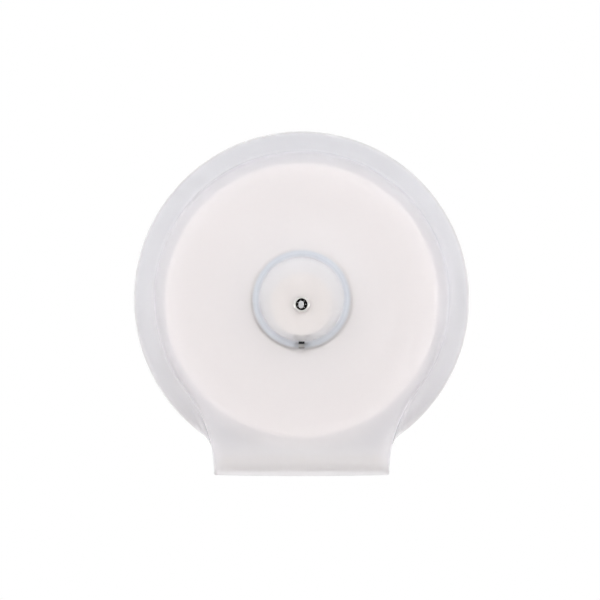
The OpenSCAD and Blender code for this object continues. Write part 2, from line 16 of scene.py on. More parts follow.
import bmesh
import bpy
import numpy as np
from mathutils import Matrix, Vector


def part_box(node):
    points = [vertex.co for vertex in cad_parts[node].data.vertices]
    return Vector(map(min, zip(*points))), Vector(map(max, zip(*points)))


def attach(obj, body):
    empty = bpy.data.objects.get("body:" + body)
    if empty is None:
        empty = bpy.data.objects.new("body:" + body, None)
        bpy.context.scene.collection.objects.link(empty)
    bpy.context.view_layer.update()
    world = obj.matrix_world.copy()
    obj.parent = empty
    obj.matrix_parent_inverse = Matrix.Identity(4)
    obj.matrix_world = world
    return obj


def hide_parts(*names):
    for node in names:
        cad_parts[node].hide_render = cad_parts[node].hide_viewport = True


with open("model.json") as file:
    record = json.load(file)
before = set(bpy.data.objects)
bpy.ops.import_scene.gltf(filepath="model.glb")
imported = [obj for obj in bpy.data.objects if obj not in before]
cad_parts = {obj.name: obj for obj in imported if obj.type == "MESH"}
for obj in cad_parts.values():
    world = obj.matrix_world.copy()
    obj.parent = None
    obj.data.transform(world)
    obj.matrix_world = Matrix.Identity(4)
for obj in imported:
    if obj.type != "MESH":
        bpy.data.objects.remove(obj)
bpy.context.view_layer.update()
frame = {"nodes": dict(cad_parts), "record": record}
nodes = frame["nodes"]
MM = 0.001

# %% [markdown]
# ## Camera
# The photograph was taken from straight in front, at the height of the lock. How much
# smaller the rear rim looks than the front corner would make it gives the distance, about
# 1.8 m, and the size of the dispenser in the frame then gives the lens.

# %% Camera
scene = bpy.context.scene
VIEW_FROM = (-0.0012, -1.8, -0.0008)
LENS_MM, SENSOR_MM = 134.04, 36
camera_data = bpy.data.cameras.new("front_camera")
camera_data.lens = LENS_MM
camera_data.sensor_width = SENSOR_MM
camera = bpy.data.objects.new("front_camera", camera_data)
camera.location = VIEW_FROM
camera.rotation_euler = (math.pi / 2, 0, 0)
scene.collection.objects.link(camera)
scene.camera = camera
scene.view_settings.view_transform = "Standard"
print("camera", VIEW_FROM, "lens", LENS_MM)

# %% [markdown]
# ## World and lamps
# White shows behind the object because camera rays, and rays that come through the frosted
# plastic or off the metal, see a world of strength 1. The light that the world gives is set
# apart from that, so that the pale plastic stays below white, and it falls off towards the
# floor, as it does in a room. Two soft lamps, high on the left and on the right, draw the
# thin highlights on the cover's front edge, and a wide one over the camera lights the face.
# Two weaker ones, low at the sides, reach the lower walls, which turn away from the others.
#
# The world, the floor and every finish are trees of nodes, so a few short helpers come first.
# They add a node, feed a socket, and stand for the nodes that are needed most often.


# %% Node helpers
def add_node(tree, kind, **settings):
    node = tree.nodes.new(kind)
    for key, value in settings.items():
        setattr(node, key, value)
    return node


def feed(tree, socket, value):
    """Puts a constant on a socket, or links another node's output to it."""
    if isinstance(value, bpy.types.NodeSocket):
        tree.links.new(value, socket)
    elif value is not None:
        socket.default_value = value


def sum_of(tree, operation, a, b=None, c=None, clamp=False):
    node = add_node(tree, "ShaderNodeMath", operation=operation, use_clamp=clamp)
    for socket, value in zip(node.inputs, (a, b, c)):
        feed(tree, socket, value)
    return node.outputs[0]


def ramp(tree, low, high, width):
    """0 where high is no more than low, rising to 1 where it is a width above it."""
    return sum_of(tree, "DIVIDE", sum_of(tree, "SUBTRACT", high, low), width, clamp=True)


def mix_colours(tree, share, a, b):
    """Goes from a to b with the share. Each is a socket or a (red, green, blue)."""
    node = add_node(tree, "ShaderNodeMix", data_type="RGBA")
    feed(tree, node.inputs[0], share)
    for socket, colour in ((node.inputs[6], a), (node.inputs[7], b)):
        feed(tree, socket, (*colour, 1) if isinstance(colour, tuple) else colour)
    return node.outputs[2]


def split(tree, vector):
    """The X, Y and Z of a vector, by their names."""
    node = add_node(tree, "ShaderNodeSeparateXYZ")
    feed(tree, node.inputs[0], vector)
    return node.outputs


# %% World
HIGH_LIGHT = (0.79, 0.79, 0.8)
LOW_LIGHT = (0.72, 0.69, 0.66)
world = bpy.data.worlds.new("white_room")
scene.world = world
world.use_nodes = True
room = world.node_tree
room.nodes.clear()
ray = add_node(room, "ShaderNodeLightPath").outputs
seen = sum_of(room, "MAXIMUM", ray["Is Camera Ray"], ray["Is Glossy Ray"])
seen = sum_of(room, "MAXIMUM", seen, ray["Is Transmission Ray"])
from_above = add_node(room, "ShaderNodeMapRange")
from_above.inputs["From Min"].default_value = -1
direction = add_node(room, "ShaderNodeTexCoord").outputs["Generated"]
feed(room, from_above.inputs["Value"], split(room, direction)["Z"])
sky = mix_colours(room, from_above.outputs[0], LOW_LIGHT, HIGH_LIGHT)
daylight = add_node(room, "ShaderNodeBackground")
feed(room, daylight.inputs["Color"], sky)
backdrop = add_node(room, "ShaderNodeBackground")
backdrop.inputs["Color"].default_value = (1, 1, 1, 1)
choose = add_node(room, "ShaderNodeMixShader")
for socket, value in zip(choose.inputs, (seen, daylight.outputs[0], backdrop.outputs[0])):
    feed(room, socket, value)
feed(room, add_node(room, "ShaderNodeOutputWorld").inputs["Surface"], choose.outputs[0])
print("world light from below", LOW_LIGHT, "and from above", HIGH_LIGHT)

# %% Lamps
LAMP_AIM = Vector((0, -0.06, 0))
LAMPS = (  # name, place and width in metres, watts
    ("lamp_left", (-1.25, -1.0, 0.95), 0.7, 5),
    ("lamp_right", (1.25, -1.0, 0.95), 0.6, 5),
    ("lamp_front", (0.3, -1.9, 1.1), 0.9, 1.5),
    ("fill_left", (-1.3, -0.25, -0.3), 0.5, 4.5),
    ("fill_right", (1.3, -0.25, -0.3), 0.5, 4.5),
)
for name, place, width, watts in LAMPS:
    data = bpy.data.lights.new(name, "AREA")
    data.shape = "SQUARE"
    data.size = width
    data.energy = watts
    lamp = bpy.data.objects.new(name, data)
    lamp.location = place
    lamp.rotation_euler = (LAMP_AIM - lamp.location).to_track_quat("-Z", "Y").to_euler()
    scene.collection.objects.link(lamp)
    print(name, watts, "W,", width, "m wide")

# %% [markdown]
# ## Floor
# The photograph shows no floor: the dispenser hangs in plain white. A pale floor lies below
# the camera's view. It looks pale to the camera, and gives the underside only the softer
# light that a real room's floor gives.


# %% Material helper
def new_material(name, constants):
    """A material, its tree and its shader, with constants on the shader's own sockets."""
    material = bpy.data.materials.new(name)
    material.use_nodes = True
    shader = material.node_tree.nodes["Principled BSDF"]
    for label, value in constants.items():
        shader.inputs[label].default_value = value
    return material, material.node_tree, shader


# %% Floor
FLOOR_Z, FLOOR_HALF = -0.42, 1.2
FLOOR_SEEN = (0.88, 0.88, 0.88)
FLOOR_LIT = (0.8, 0.765, 0.745)
CORNERS = ((-1, -1), (1, -1), (1, 1), (-1, 1))
floor_mesh = bpy.data.meshes.new("floor")
floor_mesh.from_pydata(
    [(x * FLOOR_HALF, y * FLOOR_HALF, FLOOR_Z) for x, y in CORNERS], [], [(0, 1, 2, 3)])
floor = bpy.data.objects.new("floor", floor_mesh)
scene.collection.objects.link(floor)
floor_paint, tree, shader = new_material("floor_paint", {"Roughness": 0.8})
to_camera = add_node(tree, "ShaderNodeLightPath").outputs["Is Camera Ray"]
feed(tree, shader.inputs["Base Color"], mix_colours(tree, to_camera, FLOOR_LIT, FLOOR_SEEN))
floor_mesh.materials.append(floor_paint)
print("floor at", FLOOR_Z, "m")

# %% [markdown]
# ## Finishes: two shared effects
# Moulded plastic, plate and board all have a fine grain, and every real edge is a little
# rounded and rubbed. Both effects are node groups, so that each material places them with
# its own sizes. The grain gives a mask and a height. The edge group compares the plain
# normal with one that is rounded off over a small radius: where they differ, there is an
# edge. It gives the rounded normal too, which softens the sharp solids without new mesh.


# %% Group helpers
def new_group(name, inputs, outputs):
    group = bpy.data.node_groups.new(name, "ShaderNodeTree")
    for label, kind, value in inputs:
        socket = group.interface.new_socket(label, in_out="INPUT", socket_type=kind)
        socket.default_value = value
    for label, kind in outputs:
        group.interface.new_socket(label, in_out="OUTPUT", socket_type=kind)
    took = add_node(group, "NodeGroupInput").outputs
    return group, took, add_node(group, "NodeGroupOutput").inputs


def use_group(tree, group, values):
    """Places a group in a material with its own values, and returns its outputs."""
    node = add_node(tree, "ShaderNodeGroup", node_tree=group)
    for label, value in values.items():
        node.inputs[label].default_value = value
    return node.outputs


def spread(tree, share, low, high):
    """A value between low and high, by the share."""
    node = add_node(tree, "ShaderNodeMapRange")
    node.inputs["To Min"].default_value = low
    node.inputs["To Max"].default_value = high
    feed(tree, node.inputs["Value"], share)
    return node.outputs[0]


def relief(tree, distance, height, normal=None):
    """The normal of a raised surface, laid over another normal if there is one."""
    node = add_node(tree, "ShaderNodeBump")
    node.inputs["Distance"].default_value = distance
    feed(tree, node.inputs["Height"], height)
    feed(tree, node.inputs["Normal"], normal)
    return node.outputs[0]


# %% Grain group
grain_group, took, gave = new_group(
    "surface_grain",
    [("Grain Size", "NodeSocketFloat", 0.0006), ("Cloud Size", "NodeSocketFloat", 0.03),
     ("Stretch", "NodeSocketVector", (1, 1, 1))],
    [("Cloud", "NodeSocketFloat"), ("Height", "NodeSocketFloat")],
)
stretched = add_node(grain_group, "ShaderNodeVectorMath", operation="MULTIPLY")
place = add_node(grain_group, "ShaderNodeTexCoord").outputs
feed(grain_group, stretched.inputs[0], place["Object"])
feed(grain_group, stretched.inputs[1], took["Stretch"])
for size, detail, result in (("Grain Size", 2, "Height"), ("Cloud Size", 4, "Cloud")):
    noise = add_node(grain_group, "ShaderNodeTexNoise")
    noise.inputs["Detail"].default_value = detail
    feed(grain_group, noise.inputs["Vector"], stretched.outputs[0])
    feed(grain_group, noise.inputs["Scale"], sum_of(grain_group, "DIVIDE", 1, took[size]))
    feed(grain_group, gave[result], noise.outputs[0])
print("group", grain_group.name)

# %% Edge group
WEAR_GAIN = 5
edge_group, took, gave = new_group(
    "soft_edges",
    [("Radius", "NodeSocketFloat", 0.0005)],
    [("Wear", "NodeSocketFloat"), ("Normal", "NodeSocketVector")],
)
rounded_off = add_node(edge_group, "ShaderNodeBevel", samples=4)
feed(edge_group, rounded_off.inputs["Radius"], took["Radius"])
surface = add_node(edge_group, "ShaderNodeNewGeometry")
alike = add_node(edge_group, "ShaderNodeVectorMath", operation="DOT_PRODUCT")
feed(edge_group, alike.inputs[0], rounded_off.outputs[0])
feed(edge_group, alike.inputs[1], surface.outputs["Normal"])
turned_by = sum_of(edge_group, "SUBTRACT", 1, alike.outputs["Value"])
feed(edge_group, gave["Wear"], sum_of(edge_group, "MULTIPLY", turned_by, WEAR_GAIN, clamp=True))
feed(edge_group, gave["Normal"], rounded_off.outputs[0])
print("group", edge_group.name)

# %% [markdown]
# ## Finishes: plastics and metals
# One maker function serves every opaque finish. It mixes a base colour with a second one by
# the grain's cloud, lightens or darkens the rubbed edges, and adds the grain as bump. What
# sets the finishes apart are their colours, gloss, grain size and the direction in which the
# grain is drawn out, as it is on rolled steel. All sizes are in metres.


# %% Opaque finish
def finish(name, colour, second, rough, metal=0.0, grain=0.0006, cloud=0.03, bump=0.00001,
           stretch=(1, 1, 1), edge=0.0004, edge_colour=None, rough_spread=0.12):
    material, tree, shader = new_material(name, {"Metallic": metal})
    grains = use_group(tree, grain_group, {
        "Grain Size": grain, "Cloud Size": cloud, "Stretch": stretch})
    edges = use_group(tree, edge_group, {"Radius": edge})
    tint = mix_colours(tree, grains["Cloud"], colour, second)
    if edge_colour:
        tint = mix_colours(tree, edges["Wear"], tint, edge_colour)
    feed(tree, shader.inputs["Base Color"], tint)
    feed(tree, shader.inputs["Roughness"], spread(
        tree, grains["Cloud"], rough - rough_spread / 2, rough + rough_spread / 2))
    feed(tree, shader.inputs["Normal"], relief(tree, bump, grains["Height"], edges["Normal"]))
    return material


ZINC = dict(colour=(0.66, 0.68, 0.7), second=(0.6, 0.58, 0.52), rough=0.26, metal=1.0,
            grain=0.0004, cloud=0.002, bump=0.000005, edge=0.0003,
            edge_colour=(0.8, 0.8, 0.8))
base_grey = finish("base_grey", (0.6, 0.62, 0.66), (0.56, 0.58, 0.62), 0.42,
                   grain=0.0005, bump=0.00003, edge_colour=(0.66, 0.68, 0.71))
hub_white = finish("hub_white", (0.92, 0.91, 0.9), (0.89, 0.88, 0.87), 0.38,
                   bump=0.00002, edge_colour=(0.94, 0.93, 0.92))
bush_acetal = finish("bush_acetal", (0.86, 0.84, 0.77), (0.82, 0.79, 0.71), 0.3, edge=0.0002)
disc_cream = finish("disc_cream", (0.84, 0.8, 0.76), (0.81, 0.77, 0.73), 0.45, edge=0.0003)
bar_milky = finish("bar_milky", (0.72, 0.71, 0.7), (0.69, 0.68, 0.67), 0.35, edge=0.0002)
lock_chrome = finish("lock_chrome", (0.76, 0.75, 0.73), (0.68, 0.67, 0.65), 0.3, metal=1.0,
                     grain=0.0003, cloud=0.002, bump=0.000004, edge=0.0002,
                     edge_colour=(0.85, 0.84, 0.82), rough_spread=0.1)
cam_zinc = finish("cam_zinc", **ZINC)
clip_black = finish("clip_black", (0.05, 0.05, 0.055), (0.09, 0.09, 0.1), 0.35,
                    cloud=0.004, edge=0.0002, edge_colour=(0.35, 0.33, 0.3))
pin_ground = finish("pin_ground", (0.66, 0.66, 0.67), (0.55, 0.55, 0.56), 0.24, metal=1.0,
                    grain=0.0003, cloud=0.004, stretch=(8, 1, 1), bump=0.000006, edge=0.0002)
bar_steel = finish("bar_steel", (0.68, 0.68, 0.69), (0.58, 0.58, 0.6), 0.3, metal=1.0,
                   grain=0.0004, cloud=0.01, stretch=(1, 1, 12), bump=0.000006, edge=0.00015)
zinc_bright = finish("zinc_bright", **ZINC)
print("opaque finishes ready")

# %% [markdown]
# ## Finish: frosted plastic
# The cover is clear polypropylene with a frosted surface. It scatters part of the light and
# lets the rest through with a blur, so the roll right behind the face shows as a warm disc
# with a soft edge, and the back plate, a hand's breadth further in, shows only as a tone.
# One plain Principled shader does both: a constant share of transmission, and a roughness
# that blurs it. The base colour is nearly clear on the face. On the side walls it is a little
# blue, as the plastic is where it is thick along the view, and a little darker, which is
# painted shade; in a ring on the slope of the boss it is bluer and darker still, partly the
# same blue and partly painted shade. It is slightly grey, a painted shade, at the chute's lip
# and at the rim by the wall. The frosting is coarser in the bend where the face turns into
# the wall, which hides the gap beside the roll.
# A thin coat gives the moulding's gloss, which the lamps draw on its rounded edges.


# %% Distance helper
def radius_of(tree, point, centre_z=0.0):
    """The distance from an axis that runs along Y at a height."""
    up = sum_of(tree, "SUBTRACT", point["Z"], centre_z)
    squares = sum_of(tree, "ADD", sum_of(tree, "POWER", point["X"], 2),
                     sum_of(tree, "POWER", up, 2))
    return sum_of(tree, "SQRT", squares)


# %% Frosted plastic
FROST_CLEAR, FROST_IOR = 0.8, 1.2
COAT, COAT_ROUGH = 0.25, 0.09
FROST_SMOOTH, FROST_ROUGH = 0.56, 0.62
STIPPLE, STIPPLE_CLOUD, STIPPLE_HIGH = 0.0009, 0.045, 0.00002
FROST_FACE = (1.0, 0.99, 1.0)
FROST_WALL_BLUE_AND_SHADE = (0.96, 0.958, 0.99)
FROST_RING_BLUE_AND_SHADE = (0.855, 0.892, 0.945)
RING_IN, RING_OUT, RING_FADE = 0.0313, 0.0375, 0.0016
FROST_RIM_SHADE = (0.84, 0.83, 0.84)
RIM_FROM, RIM_FADE, RIM_LOW, RIM_LOW_FADE = 0.1315, 0.002, -0.11, 0.01
FROST_LIP_SHADE = (0.91, 0.9, 0.91)
LIP_FROM, LIP_DEEP = -0.1235, 0.007
BEND_IN, BEND_IN_FADE, BEND_OUT, BEND_OUT_FADE = 0.1, 0.004, 0.114, 0.002
BEND_ROUGHER = 0.27
frosted, tree, shader = new_material("frosted_plastic", {
    "Transmission Weight": FROST_CLEAR, "IOR": FROST_IOR,
    "Coat Weight": COAT, "Coat Roughness": COAT_ROUGH})
stipple = use_group(tree, grain_group, {"Grain Size": STIPPLE, "Cloud Size": STIPPLE_CLOUD})
place = add_node(tree, "ShaderNodeTexCoord").outputs
facing = sum_of(tree, "ABSOLUTE", split(tree, place["Normal"])["Y"])
steep = sum_of(tree, "SUBTRACT", 1, facing, clamp=True)
point = split(tree, place["Object"])
from_axis = radius_of(tree, point)
ring_blue_and_shade = sum_of(tree, "MULTIPLY", ramp(tree, RING_IN, from_axis, RING_FADE),
                 ramp(tree, from_axis, RING_OUT, RING_FADE))
rim_shade = sum_of(tree, "MULTIPLY", ramp(tree, RIM_FROM, from_axis, RIM_FADE),
                ramp(tree, RIM_LOW, point["Z"], RIM_LOW_FADE))
lip_shade = ramp(tree, point["Z"], LIP_FROM, LIP_DEEP)
# Painted shade: the walls, the ring on the boss, the rim by the wall and the chute's lip are
# darker than the face; the walls and the ring also carry the plastic's own blue.
tint = mix_colours(tree, steep, FROST_FACE, FROST_WALL_BLUE_AND_SHADE)
for share, colour in ((ring_blue_and_shade, FROST_RING_BLUE_AND_SHADE), (rim_shade, FROST_RIM_SHADE), (lip_shade, FROST_LIP_SHADE)):
    tint = mix_colours(tree, share, tint, colour)
feed(tree, shader.inputs["Base Color"], tint)
in_bend = sum_of(tree, "MULTIPLY", ramp(tree, BEND_IN, from_axis, BEND_IN_FADE),
                 ramp(tree, from_axis, BEND_OUT, BEND_OUT_FADE))
blur = spread(tree, stipple["Cloud"], FROST_SMOOTH, FROST_ROUGH)
feed(tree, shader.inputs["Roughness"], sum_of(
    tree, "MULTIPLY_ADD", in_bend, BEND_ROUGHER, blur))
feed(tree, shader.inputs["Normal"], relief(tree, STIPPLE_HIGH, stipple["Height"]))
print("frosted plastic lets", FROST_CLEAR, "through")

# %% [markdown]
# ## Cover
# The cover is one moulding: a round face with a hollow boss for the lock, a flaring side
# wall, and a chute that is open below. Its outline is a circle that runs through hollow
# curves into the chute's two upright sides. The mesh follows that rule: rings of points,
# all at the same angles round the hub's axis, from the lock's hole over the boss, the face
# and the rounded edge to the rear rim, and back along the inside. Rings keep the flow of
# the shape, so the long curves shade smoothly.

# %% Cover sizes
# Millimetres. D is a depth in front of the wall, R a radius, Z a height.
RIM_R, CORNER_R = 135.0, 111.0
RIM_D, FACE_D, BOSS_D = 1.5, 116.0, 126.0
WALL, AIR = 2.4, 0.12
EDGE_R, INNER_EDGE_R = 2.4, 4.0
CHUTE_REAR, CHUTE_FRONT, CHUTE_DROP = 70.5, 66.0, 132.7
REAR_BLEND, FRONT_BLEND = 25.0, 103.9
CORNER_ROUND, INNER_CORNER_ROUND = 1.0, 0.1
LIP_BOW = 0.8
BOSS_TOP, BOSS_BASE, BOSS_BLEND, BOSS_EDGE = 31.7, 35.0, 5.0, 1.0
BOSS_PLATE = 41.5
LOCK_DROP, HOLE_R = 4.0, 5.35
HINGE_D, HINGE_Z = 14.0, -126.0
# Points along the outline and counts of rings
CORNER_POINTS, STRAIGHT_STEPS, HOLLOW_POINTS, ROUND_POINTS = 5, 6, 18, 280
LOCK_RINGS, FACE_RINGS, EDGE_STEPS, WALL_STEPS = 4, 9, 7, 7
LIP = 30
print("cover", 2 * RIM_R, "mm across")


# %% Outline of the cover
def keyhole(radius, half, blend, corner):
    """Points of the outline from the lower right corner over the top to the lower left."""
    low = math.acos((half + blend) / (radius + blend))
    centre = -math.sqrt((radius + blend) ** 2 - (half + blend) ** 2)
    side = [
        (half - corner * (1 - math.sin(t)), -CHUTE_DROP + corner * (1 - math.cos(t)))
        for t in np.linspace(0, math.pi / 2, CORNER_POINTS)
    ]
    foot = -CHUTE_DROP + corner
    side += [(half, foot + (centre - foot) * i / STRAIGHT_STEPS)
             for i in range(1, STRAIGHT_STEPS)]
    side += [
        (half + blend + blend * math.cos(a), centre + blend * math.sin(a))
        for a in np.linspace(math.pi, math.pi - low, HOLLOW_POINTS)
    ]
    top = [
        (radius * math.cos(a), radius * math.sin(a))
        for a in np.linspace(-low, math.pi + low, ROUND_POINTS)[1:-1]
    ]
    return np.array(side + top + [(-x, y) for x, y in reversed(side)])


def level(depth, inset, corner=CORNER_ROUND):
    """The outline at a depth, drawn in by an inset, as points (x, up, depth)."""
    share = (depth - RIM_D) / (FACE_D - RIM_D)
    rear = keyhole(RIM_R - inset, CHUTE_REAR - inset, REAR_BLEND + inset, corner)
    front = keyhole(CORNER_R - inset, CHUTE_FRONT - inset, FRONT_BLEND + inset, corner)
    flat = rear * (1 - share) + front * share
    return np.column_stack([flat, np.full(len(flat), depth)])


OPEN = len(keyhole(CORNER_R, CHUTE_FRONT, FRONT_BLEND, CORNER_ROUND))
print("points round the cover", OPEN, "and along its lip", LIP)


def with_lip(points):
    """Closes an outline along the chute's lower edge, which bows down a little."""
    x = np.linspace(points[-1, 0], points[0, 0], LIP + 2)[1:-1]
    bow = LIP_BOW * (1 - (x / points[0, 0]) ** 2)
    lip = np.column_stack([x, points[0, 1] - bow, np.full(LIP, points[0, 2])])
    return np.vstack([points, lip])


# %% Profile of the boss
def rounded(a, b, c, radius, steps=8):
    """Points that round the corner b between a and c."""
    a, b, c = (np.array(p, float) for p in (a, b, c))
    u = (a - b) / np.linalg.norm(a - b)
    v = (c - b) / np.linalg.norm(c - b)
    half = math.acos(float(u @ v)) / 2
    middle = b + (u + v) / np.linalg.norm(u + v) * radius / math.sin(half)
    start = b + u * radius / math.tan(half) - middle
    turn = (-1 if u[0] * v[1] - u[1] * v[0] > 0 else 1) * (math.pi - 2 * half)
    angles = np.linspace(0, turn, steps + 1)
    return [
        middle + (start[0] * math.cos(t) - start[1] * math.sin(t),
                  start[0] * math.sin(t) + start[1] * math.cos(t))
        for t in angles
    ]


slope = (BOSS_BASE - BOSS_TOP) / (BOSS_D - FACE_D)
skew = (WALL - AIR) * math.sqrt(1 + slope ** 2)
IN_FACE_D = FACE_D - WALL + AIR
IN_BOSS_D = BOSS_D - WALL + AIR


def boss_inside(depth):
    return BOSS_TOP + (BOSS_D - depth) * slope - skew


boss_outer = (
    rounded((0, BOSS_D), (BOSS_TOP, BOSS_D), (BOSS_BASE, FACE_D), BOSS_EDGE)
    + rounded((BOSS_TOP, BOSS_D), (BOSS_BASE, FACE_D), (BOSS_PLATE, FACE_D), BOSS_BLEND)
    + [(BOSS_PLATE, FACE_D)]
)
top_in = (boss_inside(IN_BOSS_D), IN_BOSS_D)
base_in = (boss_inside(IN_FACE_D), IN_FACE_D)
boss_inner = (
    [(BOSS_PLATE, IN_FACE_D)]
    + rounded((BOSS_PLATE, IN_FACE_D), base_in, top_in, BOSS_BLEND + WALL)
    + rounded(base_in, top_in, (0, IN_BOSS_D), BOSS_EDGE, 4)
)
print("boss rings", len(boss_outer), len(boss_inner))

# %% Rings of the cover
edge_line = with_lip(level(FACE_D, EDGE_R))
angles = np.arctan2(edge_line[:, 1], edge_line[:, 0])
rays = np.column_stack([np.cos(angles), np.sin(angles)])


def ring_of(radius, depth):
    return np.column_stack([rays * radius, np.full(len(rays), depth)])


def lock_ring(depth):
    """The lock's hole, cut by the same rays, though its centre lies lower than theirs."""
    along = -LOCK_DROP * rays[:, 1]
    reach = along + np.sqrt(along ** 2 + HOLE_R ** 2 - LOCK_DROP ** 2)
    return np.column_stack([rays * reach[:, None], np.full(len(rays), depth)])


def between(a, b, count):
    return [a + (b - a) * i / (count + 1) for i in range(1, count + 1)]


first_outer = ring_of(*boss_outer[0])
last_inner = ring_of(*boss_inner[-1])
outer = [lock_ring(BOSS_D)] + between(lock_ring(BOSS_D), first_outer, LOCK_RINGS)
outer += [ring_of(r, d) for r, d in boss_outer]
outer += between(outer[-1], edge_line, FACE_RINGS) + [edge_line]
inner_line = with_lip(level(IN_FACE_D, WALL - AIR + INNER_EDGE_R, INNER_CORNER_ROUND))
inner = [inner_line] + between(inner_line, ring_of(*boss_inner[0]), FACE_RINGS)
inner += [ring_of(r, d) for r, d in boss_inner]
inner += between(last_inner, lock_ring(IN_BOSS_D), LOCK_RINGS) + [lock_ring(IN_BOSS_D)]

arc = np.linspace(math.pi / 2, 0, EDGE_STEPS + 1)[1:]
side_out = [level(FACE_D - EDGE_R * (1 - math.sin(a)), EDGE_R * (1 - math.cos(a)))
            for a in arc]
side_in = [
    level(IN_FACE_D - INNER_EDGE_R * (1 - math.sin(a)),
          WALL - AIR + INNER_EDGE_R * (1 - math.cos(a)), INNER_CORNER_ROUND)
    for a in arc
]
for k in range(1, WALL_STEPS + 1):
    share = k / WALL_STEPS
    side_out.append(level((FACE_D - EDGE_R) * (1 - share) + RIM_D * share, 0))
    side_in.append(level((IN_FACE_D - INNER_EDGE_R) * (1 - share) + RIM_D * share,
                         WALL - AIR, INNER_CORNER_ROUND))
print("rings", len(outer), len(side_out), len(side_in), len(inner))


# %% Cover mesh
def to_scene(points):
    """From (x, up, depth) in mm to the scene's (x, -depth, up) in metres."""
    points = np.asarray(points, float)
    return np.column_stack([points[:, 0], -points[:, 2], points[:, 1]]) * MM


def mesh_from(name, verts, faces):
    mesh = bpy.data.meshes.new(name)
    mesh.from_pydata([tuple(v) for v in verts], [], faces)
    mesh.validate()
    obj = bpy.data.objects.new(name, mesh)
    scene.collection.objects.link(obj)
    return obj


blocks, starts = [], []
for ring in outer + side_out + side_in[::-1] + inner:
    starts.append(sum(len(b) for b in blocks))
    blocks.append(to_scene(ring))
FULL = OPEN + LIP
n_out, n_side = len(outer), len(side_out)
faces = []
for k in range(len(starts) - 1):
    a, b = starts[k], starts[k + 1]
    whole = k + 1 < n_out or k >= n_out + 2 * n_side
    for j in range(FULL if whole else OPEN - 1):
        i = (j + 1) % FULL if whole else j + 1
        faces.append((a + j, b + j, b + i, a + i))
# The wall of the lock's hole closes the last ring against the first
for j in range(FULL):
    i = (j + 1) % FULL
    faces.append((starts[-1] + j, starts[0] + j, starts[0] + i, starts[-1] + i))
# The lower edge: the lip of the face, and then both ends of the side wall
lip_out, lip_in = starts[n_out - 1], starts[n_out + 2 * n_side]
for j in range(OPEN - 1, FULL):
    i = (j + 1) % FULL
    faces.append((lip_out + j, lip_in + j, lip_in + i, lip_out + i))
levels_out = [starts[n_out - 1 + k] for k in range(n_side + 1)]
levels_in = [starts[n_out + 2 * n_side - k] for k in range(n_side + 1)]
for end in (0, OPEN - 1):
    for k in range(n_side):
        quad = (levels_out[k], levels_out[k + 1], levels_in[k + 1], levels_in[k])
        faces.append(tuple(v + end for v in (quad if end else quad[::-1])))
cover = mesh_from("cover_moulding", np.vstack(blocks), faces)


def set_outward(obj):
    """Merges doubles, turns the faces outwards and says whether the mesh is closed."""
    work = bmesh.new()
    work.from_mesh(obj.data)
    bmesh.ops.remove_doubles(work, verts=work.verts, dist=1e-6)
    bmesh.ops.recalc_face_normals(work, faces=work.faces)
    open_edges = sum(1 for e in work.edges if len(e.link_faces) != 2)
    volume = work.calc_volume(signed=True)
    if volume < 0:
        bmesh.ops.reverse_faces(work, faces=work.faces)
    work.to_mesh(obj.data)
    work.free()
    print(obj.name, "faces", len(obj.data.polygons), "open edges", open_edges,
          "volume ml", round(abs(volume) * 1e6, 1))


def smooth(obj, sharp_from):
    """Shades a mesh smooth, apart from edges that are sharper than an angle in degrees."""
    obj.data.polygons.foreach_set("use_smooth", [True] * len(obj.data.polygons))
    obj.data.set_sharp_from_angle(angle=math.radians(sharp_from))


set_outward(cover)

# %% [markdown]
# ## Cover: cuts and hinge cups
# The window for the lock's cam, the bores for the hinge bushes, the screw holes and the
# rounded rear corners of the chute are cut with solid bodies, as a mould's pins would form
# them. The cups inside the chute are added the same way.


# %% Boolean helpers
def apply_modifiers(obj):
    view = bpy.context.evaluated_depsgraph_get()
    result = bpy.data.meshes.new_from_object(obj.evaluated_get(view), depsgraph=view)
    obj.modifiers.clear()
    old = obj.data
    obj.data = result
    bpy.data.meshes.remove(old)


def combine(obj, tool, operation):
    step = obj.modifiers.new("combine", "BOOLEAN")
    step.operation = operation
    step.solver = "EXACT"
    step.object = tool
    apply_modifiers(obj)
    bpy.data.objects.remove(tool)


def prism(name, outline_points, start, end, frame_of):
    """A closed prism over a flat outline. frame_of puts (u, v, w) at (x, up, depth) in mm."""
    count = len(outline_points)
    verts = [frame_of(u, v, w) for w in (start, end) for u, v in outline_points]
    sides = [(j, (j + 1) % count, count + (j + 1) % count, count + j) for j in range(count)]
    obj = mesh_from(name, to_scene(verts), sides + [
        tuple(range(count))[::-1], tuple(range(count, 2 * count))])
    set_outward(obj)
    return obj


def circle(radius, u=0.0, v=0.0, count=48):
    return [(u + radius * math.cos(t), v + radius * math.sin(t))
            for t in np.linspace(0, 2 * math.pi, count + 1)[:-1]]


def along_x(u, v, w):
    return (w, u, v)


def along_depth(u, v, w):
    return (u, v, w)


# %% Hinge cups
PAST = 2  # how far a tool reaches out of the plastic
CUP_R, CUP_IN, CUP_OUT = 6.5, 62.79, 68.5
BORE_R, BORE_END = 4.32, 68.42
for name, radius, start, end, operation in (
        ("cup", CUP_R, CUP_IN, CUP_OUT, "UNION"),
        ("bore", BORE_R, CUP_IN - PAST, BORE_END, "DIFFERENCE")):
    for side in (-1, 1):
        disc = circle(radius, HINGE_Z, HINGE_D)
        combine(cover, prism(name, disc, side * start, side * end, along_x), operation)


# %% Window
def rounded_box(half_u, low, high, corner, turns):
    """The outline of a flat box round u = 0 with rounded corners, anticlockwise."""
    points = []
    for cu, cv, start in ((1, 1, 0), (-1, 1, 90), (-1, -1, 180), (1, -1, 270)):
        mid_u = cu * (half_u - corner)
        mid_v = (high + low) / 2 + cv * ((high - low) / 2 - corner)
        points += [(mid_u + corner * math.cos(math.radians(start + t)),
                    mid_v + corner * math.sin(math.radians(start + t))) for t in turns]
    return points


